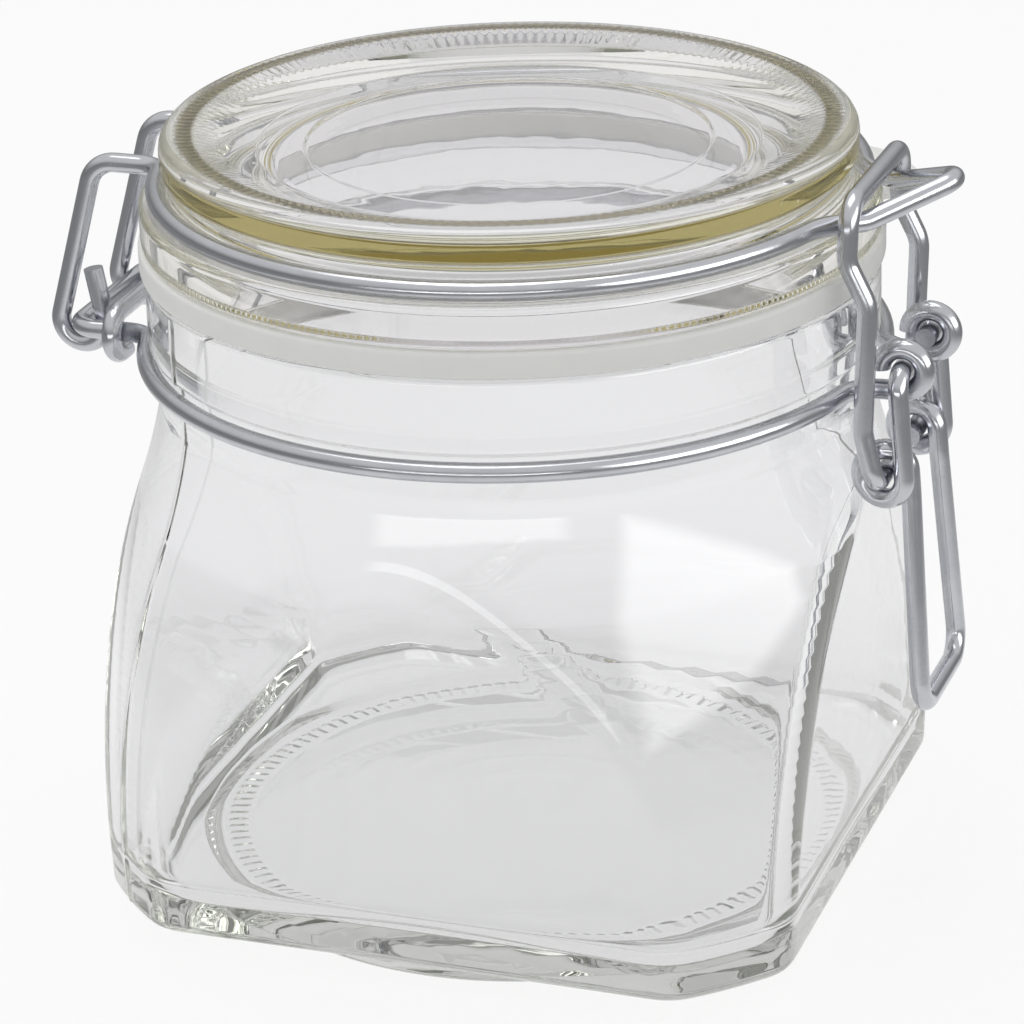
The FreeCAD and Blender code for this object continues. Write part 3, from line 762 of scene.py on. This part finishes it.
@dataclass
class GlassLid:
    """The pressed lid: a dished plate with a milled rim, a flange and a spigot that centres it."""

    finish: SodaLimeGlass
    steps: int = 900
    base: float = 89.2
    base_ease: float = 0.8
    flange: float = 48.2
    flange_top: float = 94.8
    flange_ease: float = 1.0
    groove: float = 44.5
    groove_top: float = 99.0
    groove_ease: float = 0.3
    groove_foot_ease: float = 1.2
    rim: float = 45.2
    rim_top: float = 103.4
    rim_ease: float = 1.8
    rim_foot_ease: float = 0.5
    rim_inner: float = 41.0
    rim_inner_ease: float = 0.6
    dish: float = 32.6
    dish_level: float = 100.6
    dish_ease: float = 0.8
    step: float = 26.2
    step_height: float = 0.22
    step_run: float = 0.35
    step_ease: float = 0.5
    spigot: float = 41.3
    spigot_end: float = 39.6
    spigot_level: float = 83.3
    spigot_inner: float = 37.0
    spigot_ease: float = 1.0
    hollow: float = 32.0
    hollow_level: float = 95.2
    hollow_ease: float = 3.0
    row_turn: float = 18.0
    teeth: int = 180
    tooth_height: float = 0.42
    tooth_band: tuple[float, float] = (40.7, 42.9)
    tooth_zone: float = 1.0

    def outline(self) -> Outline:
        """Describe the turned lid, from the middle of its dish to the middle of the hollow below."""
        low = self.dish_level - self.step_height
        return Outline([
            Corner(0.0, low),
            Corner(self.step, low, self.step_ease),
            Corner(self.step + self.step_run, self.dish_level, self.step_ease),
            Corner(self.dish, self.dish_level, self.dish_ease),
            Corner(self.rim_inner, self.rim_top, self.rim_inner_ease),
            Corner(self.rim, self.rim_top, self.rim_ease),
            Corner(self.rim, self.groove_top, self.rim_foot_ease),
            Corner(self.groove, self.groove_top, self.groove_ease),
            Corner(self.groove, self.flange_top, self.groove_foot_ease),
            Corner(self.flange, self.flange_top, self.flange_ease),
            Corner(self.flange, self.base, self.base_ease),
            Corner(self.spigot, self.base, self.base_ease),
            Corner(self.spigot_end, self.spigot_level, self.spigot_ease),
            Corner(self.spigot_inner, self.spigot_level, self.spigot_ease),
            Corner(self.hollow, self.hollow_level, self.hollow_ease),
            Corner(0.0, self.hollow_level),
        ], turn=self.row_turn)

    def mill_teeth(self, piece: bpy.types.Object) -> None:
        """Cut the milled teeth along the rim's inner edge.

        Args:
            piece: The turned lid.
        """
        low, high = self.tooth_band
        for vertex in piece.data.vertices:
            place = vertex.co / MM
            across = math.hypot(place.x, place.y)
            if place.z > self.rim_top - self.tooth_zone and low < across < high:
                azimuth = math.atan2(place.y, place.x)
                swell = math.sin(math.pi * (across - low) / (high - low))
                wave = 0.5 + 0.5 * math.cos(self.teeth * azimuth)
                vertex.co.z -= self.tooth_height * (1.0 - wave) * swell * MM

    def build(self) -> None:
        """Build the lid and dress it."""
        piece = turned_skin("lid_glass", self.outline(), self.steps)
        self.mill_teeth(piece)
        close_skin(piece)
        settle(piece, self.finish.material(), Body.LID, Slot.GLASS, "glass_lid")


@dataclass
class SealingRing:
    """The flat silicone ring between lid and jar, with its pull tab."""

    finish: MouldedSilicone = field(default_factory=MouldedSilicone)
    steps: int = 240
    hole: float = 41.6
    edge: float = 48.6
    bottom: float = 85.7
    top: float = 89.15
    ease: float = 0.5
    row_turn: float = 18.0
    smooth_angle: float = 35.0
    tab_reach: float = 58.0
    tab_width: float = 18.0
    tab_thickness: float = 2.4
    tab_rounding: float = 6.0
    tab_segments: int = 10
    tab_edge: float = 0.6
    tab_edge_segments: int = 3
    tab_edge_angle: float = 60.0
    tab_azimuth: float = 44.0

    def ring(self) -> bpy.types.Object:
        """Turn the ring's rounded section."""
        middle = (self.hole + self.edge) / 2.0
        outline = Outline([
            Corner(middle, self.bottom),
            Corner(self.edge, self.bottom, self.ease),
            Corner(self.edge, self.top, self.ease),
            Corner(self.hole, self.top, self.ease),
            Corner(self.hole, self.bottom, self.ease),
            Corner(middle, self.bottom),
        ], turn=self.row_turn)
        piece = turned_skin("seal_ring", outline, self.steps)
        close_skin(piece)
        return piece

    def tab(self) -> bpy.types.Object:
        """Shape the pull tab from a block."""
        start = (self.hole + self.edge) / 2.0
        length = self.tab_reach - start
        leave_nothing_selected()
        bpy.ops.mesh.primitive_cube_add(size=1.0)
        piece = bpy.context.object
        piece.name = "seal_tab"
        middle = Vector((start + length / 2.0, 0.0, (self.bottom + self.top) / 2.0))
        size = Matrix.Diagonal((length * MM, self.tab_width * MM, self.tab_thickness * MM, 1.0))
        piece.data.transform(Matrix.Translation(middle * MM) @ size)
        weights = piece.data.attributes.new("bevel_weight_edge", "FLOAT", "EDGE")
        for edge in piece.data.edges:
            ends = [piece.data.vertices[number].co for number in edge.vertices]
            upright = abs(ends[0].z - ends[1].z) > TINY_MM * MM
            weights.data[edge.index].value = 1.0 if upright and ends[0].x > middle.x * MM else 0.0
        apply_modifier(piece, "BEVEL", width=self.tab_rounding * MM, segments=self.tab_segments,
                       limit_method="WEIGHT")
        piece.data.attributes.remove(piece.data.attributes["bevel_weight_edge"])
        apply_modifier(piece, "BEVEL", width=self.tab_edge * MM, segments=self.tab_edge_segments,
                       limit_method="ANGLE", angle_limit=math.radians(self.tab_edge_angle))
        piece.data.transform(Matrix.Rotation(math.radians(self.tab_azimuth), 4, "Z"))
        return piece

    def build(self) -> None:
        """Join the tab to the ring and dress them."""
        piece = self.ring()
        tab = self.tab()
        apply_modifier(piece, "BOOLEAN", operation="UNION", object=tab, solver="EXACT")
        bpy.data.objects.remove(tab)
        pick(piece)
        bpy.ops.object.shade_smooth_by_angle(angle=math.radians(self.smooth_angle))
        settle(piece, self.finish.material(), Body.LID, Slot.SILICONE, "rubber_seal")


@dataclass
class WireHarness:
    """The bent wires: neck wire and tie, lid wire, lever and clasp."""

    finish: DrawnWire = field(default_factory=DrawnWire)
    smooth_angle: float = 40.0
    wires: tuple[tuple[str, Body], ...] = (
        ("neck_wire", Body.JAR), ("neck_tie", Body.JAR), ("lid_wire", Body.LID),
        ("latch_lever", Body.LEVER), ("clasp_loop", Body.CLASP))

    def round_copy(self, solid: bpy.types.Object) -> bpy.types.Object:
        """Copy a solid wire, with its seams merged so that it shades as one round wire.

        Args:
            solid: The frame's solid.

        Returns:
            The copy, whose bends are smooth and whose cut ends stay sharp.
        """
        piece = bpy.data.objects.new(solid.name + "_metal", solid.data.copy())
        bpy.context.scene.collection.objects.link(piece)
        piece.data.transform(solid.matrix_world)
        pick(piece)
        if piece.data.has_custom_normals:
            bpy.ops.mesh.customdata_custom_splitnormals_clear()
        close_skin(piece)
        bpy.ops.object.shade_smooth_by_angle(angle=math.radians(self.smooth_angle))
        return piece

    def build(self, solids: dict[str, bpy.types.Object]) -> None:
        """Copy and dress the wires.

        Args:
            solids: The frame's solids by name.
        """
        material = self.finish.material()
        for name, body in self.wires:
            settle(self.round_copy(solids[name]), material, body, Slot.WIRE, name)


@dataclass(frozen=True)
class SoftBox:
    """A lamp behind a cloth that faces the jar.

    Attributes:
        name: The lamp's name.
        place: Its middle.
        size: Its width and height.
        radiance: Its brightness, where one is the white of the floor.
        lights: Whether it lights matt surfaces, or only shows in reflections.
        roll: Its turn about its own middle, in degrees.
    """

    name: str
    place: tuple[float, float, float]
    size: tuple[float, float]
    radiance: float
    lights: bool
    roll: float = 0.0


@dataclass
class Studio:
    """A white sweep, soft boxes and the camera."""

    azimuth: float = 20.0
    elevation: float = 22.71
    roll: float = -1.875
    distance: float = 580.35
    aim_height: float = 48.30
    aim_across: float = -1.168
    lens: float = 152.54
    sensor: float = 36.0
    clip: tuple[float, float] = (10.0, 100000.0)
    floor_size: float = 8000.0
    paper: str = "#F2F2F2"
    glow_share: float = 0.85
    table_near: float = 110.0
    table_far: float = 260.0
    table_level: float = 0.95
    shade_near: float = 40.0
    shade_far: float = 165.0
    shade_level: float = 0.79
    room_dark: float = 0.24
    room_top: float = 0.8
    room_turn: float = 0.6
    ceiling: float = 0.6
    ceiling_band: tuple[float, float] = (0.3, 0.9)
    fill: float = 0.6
    cloth_edge: float = 0.14
    bounces: int = 28
    glossy_bounces: int = 10
    boxes: tuple[SoftBox, ...] = (
        SoftBox("top_box", (-150.0, 100.0, 1250.0), (900.0, 900.0), 2.4, True),
        SoftBox("right_box", (1485.0, -398.0, 489.0), (1850.0, 780.0), 4.0, False, 7.5),
        SoftBox("front_strip", (61.0, -697.0, 60.0), (850.0, 110.0), 2.6, False))

    def floor(self) -> None:
        """Lay the white floor, which keeps a soft shadow."""
        leave_nothing_selected()
        bpy.ops.mesh.primitive_plane_add(size=self.floor_size * MM)
        floor = bpy.context.object
        floor.name = "studio_floor"
        material = new_material("white_sweep")
        tree = material.node_tree
        # Camera rays and rays through the glass see white, mirrored ones a white table in a dark room.
        rays = add_node(tree, "ShaderNodeLightPath")
        direct = add_node(tree, "ShaderNodeMath", {"operation": "MAXIMUM"}, {
            0: rays.outputs["Is Camera Ray"], 1: rays.outputs["Is Transmission Ray"]})
        place = add_node(tree, "ShaderNodeNewGeometry")
        away = add_node(tree, "ShaderNodeVectorMath", {"operation": "LENGTH"}, {
            0: place.outputs["Position"]})
        table = add_node(tree, "ShaderNodeMapRange", {"interpolation_type": "SMOOTHSTEP"}, {
            "Value": away.outputs["Value"], "From Min": self.table_near * MM,
            "From Max": self.table_far * MM, "To Min": self.table_level, "To Max": self.room_dark})
        # Through the glass the table near the jar is painted darker, a painted shadow of the jar, which makes
        # creases show.
        shade = add_node(tree, "ShaderNodeMapRange", {"interpolation_type": "SMOOTHSTEP"}, {
            "Value": away.outputs["Value"], "From Min": self.shade_near * MM,
            "From Max": self.shade_far * MM, "To Min": self.shade_level, "To Max": 1.0})
        sight = add_node(tree, "ShaderNodeMix", {"data_type": "FLOAT"}, {
            0: rays.outputs["Is Camera Ray"], 2: shade.outputs["Result"], 3: 1.0})
        clean = add_node(tree, "ShaderNodeMix", {"data_type": "FLOAT"}, {
            0: direct.outputs["Value"], 2: table.outputs["Result"], 3: sight.outputs["Result"]})
        caught = add_node(tree, "ShaderNodeMath", {"operation": "GREATER_THAN"}, {
            0: rays.outputs["Ray Depth"], 1: ESCAPE_DEPTH})
        level = add_node(tree, "ShaderNodeMix", {"data_type": "FLOAT"}, {
            0: caught.outputs["Value"], 2: clean.outputs["Result"], 3: ESCAPE_LEVEL})
        shown = add_node(tree, "ShaderNodeMath", {"operation": "MAXIMUM"}, {
            0: direct.outputs["Value"], 1: rays.outputs["Is Glossy Ray"]})
        share = add_node(tree, "ShaderNodeMath", {"operation": "MULTIPLY"}, {
            0: shown.outputs["Value"], 1: self.glow_share})
        paper = add_node(tree, "ShaderNodeBsdfDiffuse", {}, {"Color": linear(self.paper)})
        white = add_node(tree, "ShaderNodeEmission", {}, {
            "Color": linear("#FFFFFF"), "Strength": level.outputs["Result"]})
        mix = add_node(tree, "ShaderNodeMixShader", {}, {
            0: share.outputs["Value"], 1: paper.outputs["BSDF"], 2: white.outputs["Emission"]})
        add_node(tree, "ShaderNodeOutputMaterial", {}, {"Surface": mix.outputs["Shader"]})
        floor.data.materials.append(material)

    def world(self) -> None:
        """Hang the backdrop: white round the horizon, falling to the grey of the studio's ceiling."""
        world = bpy.data.worlds.new("studio")
        bpy.context.scene.world = world
        world.use_nodes = True
        tree = world.node_tree
        tree.nodes.clear()
        place = add_node(tree, "ShaderNodeTexCoord")
        parts = add_node(tree, "ShaderNodeSeparateXYZ", {}, {0: place.outputs["Generated"]})
        through = add_node(tree, "ShaderNodeMapRange", {"interpolation_type": "SMOOTHSTEP"}, {
            "Value": parts.outputs["Z"], "From Min": self.ceiling_band[0], "From Max": self.ceiling_band[1],
            "To Min": 1.0, "To Max": self.ceiling})
        mirrored = add_node(tree, "ShaderNodeMapRange", {"interpolation_type": "SMOOTHSTEP"}, {
            "Value": parts.outputs["Z"], "From Min": 0.0, "From Max": self.room_turn,
            "To Min": self.room_dark, "To Max": self.room_top})
        rays = add_node(tree, "ShaderNodeLightPath")
        matt = add_node(tree, "ShaderNodeMix", {"data_type": "FLOAT"}, {
            0: rays.outputs["Is Glossy Ray"], 2: self.fill, 3: mirrored.outputs["Result"]})
        clear = add_node(tree, "ShaderNodeMix", {"data_type": "FLOAT"}, {
            0: rays.outputs["Is Transmission Ray"], 2: matt.outputs["Result"],
            3: through.outputs["Result"]})
        caught = add_node(tree, "ShaderNodeMath", {"operation": "GREATER_THAN"}, {
            0: rays.outputs["Ray Depth"], 1: ESCAPE_DEPTH})
        even = add_node(tree, "ShaderNodeMix", {"data_type": "FLOAT"}, {
            0: caught.outputs["Value"], 2: clear.outputs["Result"], 3: ESCAPE_LEVEL})
        seen = add_node(tree, "ShaderNodeMix", {"data_type": "FLOAT"}, {
            0: rays.outputs["Is Camera Ray"], 2: even.outputs["Result"], 3: 1.0})
        mix = add_node(tree, "ShaderNodeBackground", {}, {
            "Color": linear("#FFFFFF"), "Strength": seen.outputs["Result"]})
        add_node(tree, "ShaderNodeOutputWorld", {}, {"Surface": mix.outputs["Background"]})

    def hang(self, box: SoftBox) -> None:
        """Hang a soft box so that it faces the jar.

        Args:
            box: The soft box.
        """
        lamp = bpy.data.lights.new(box.name, "AREA")
        lamp.shape = "RECTANGLE"
        lamp.size = box.size[0] * MM
        lamp.size_y = box.size[1] * MM
        lamp.energy = box.radiance * math.pi * lamp.size * lamp.size_y
        holder = bpy.data.objects.new(box.name, lamp)
        bpy.context.scene.collection.objects.link(holder)
        place = Vector(box.place)
        aim = Vector((0.0, 0.0, self.aim_height)) - place
        rolled = Matrix.Rotation(math.radians(box.roll), 3, "Z")
        facing = aim.to_track_quat("-Z", "Y").to_matrix() @ rolled
        holder.matrix_world = Matrix.Translation(place * MM) @ facing.to_4x4()
        self.fade_edges(lamp)
        holder.visible_camera = False
        holder.visible_transmission = False
        holder.visible_diffuse = box.lights

    def fade_edges(self, lamp: bpy.types.Light) -> None:
        """Let a soft box's cloth darken towards its edges.

        Args:
            lamp: The soft box's lamp.
        """
        lamp.use_nodes = True
        tree = lamp.node_tree
        tree.nodes.clear()
        place = add_node(tree, "ShaderNodeNewGeometry")
        parts = add_node(tree, "ShaderNodeSeparateXYZ", {}, {0: place.outputs["Parametric"]})
        sides = [
            add_node(tree, "ShaderNodeMath", {"operation": "PINGPONG"}, {0: parts.outputs[axis], 1: 0.5})
            for axis in ("X", "Y")]
        least = add_node(tree, "ShaderNodeMath", {"operation": "MINIMUM"}, {
            0: sides[0].outputs["Value"], 1: sides[1].outputs["Value"]})
        fade = add_node(tree, "ShaderNodeMapRange", {"interpolation_type": "SMOOTHSTEP"}, {
            "Value": least.outputs["Value"], "From Min": 0.0, "From Max": self.cloth_edge,
            "To Min": 0.0, "To Max": 1.0})
        glow = add_node(tree, "ShaderNodeEmission", {}, {"Strength": fade.outputs["Result"]})
        add_node(tree, "ShaderNodeOutputLight", {}, {"Surface": glow.outputs["Emission"]})

    def camera(self) -> None:
        """Set up the camera at the photograph's viewing angle."""
        turn = math.radians(self.azimuth)
        tilt = math.radians(self.elevation)
        back = Vector((math.sin(turn) * math.cos(tilt), -math.cos(turn) * math.cos(tilt), math.sin(tilt)))
        right = Vector((math.cos(turn), math.sin(turn), 0.0))
        upright = Matrix((right, back.cross(right), back)).transposed()
        aim = Vector((0.0, 0.0, self.aim_height)) + right * self.aim_across
        eye = (aim + back * self.distance) * MM
        data = bpy.data.cameras.new("camera")
        data.lens = self.lens
        data.sensor_width = self.sensor
        data.clip_start = self.clip[0] * MM
        data.clip_end = self.clip[1] * MM
        holder = bpy.data.objects.new("camera", data)
        bpy.context.scene.collection.objects.link(holder)
        rolled = upright @ Matrix.Rotation(math.radians(self.roll), 3, "Z")
        holder.matrix_world = Matrix.Translation(eye) @ rolled.to_4x4()
        bpy.context.scene.camera = holder

    def build(self) -> None:
        """Set up the whole studio."""
        self.floor()
        self.world()
        for box in self.boxes:
            self.hang(box)
        self.camera()
        scene = bpy.context.scene
        scene.view_settings.view_transform = "Standard"
        scene.cycles.max_bounces = self.bounces
        scene.cycles.transmission_bounces = self.bounces
        scene.cycles.transparent_max_bounces = self.bounces
        scene.cycles.glossy_bounces = self.glossy_bounces


def main() -> None:
    """Load the frame, build every piece around it and log each piece's face count."""
    logging.basicConfig(level=logging.INFO, format="%(name)s: %(message)s")
    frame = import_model()
    leave_nothing_selected()
    Studio().build()
    GlassJar(SodaLimeGlass("pressed_jar_glass", tint="#A9ABA0", tint_density=8.0)).build()
    milling = Tint(across=41.8, height=103.4, reach=(1.5, 1.2), colour="#7A7054")
    rim_face = Tint(across=45.2, height=100.6, reach=(0.6, 2.0), colour="#86763A")
    lid_glass = SodaLimeGlass("pressed_lid_glass", ripple_mm=9.0, ripple_depth_mm=0.02, tint_density=2.5,
                              skin="#F0EFF2", tints=(milling, rim_face))
    GlassLid(lid_glass).build()
    SealingRing().build()
    WireHarness().build(frame["nodes"])
    leave_nothing_selected()


if __name__ == "__main__":
    main()
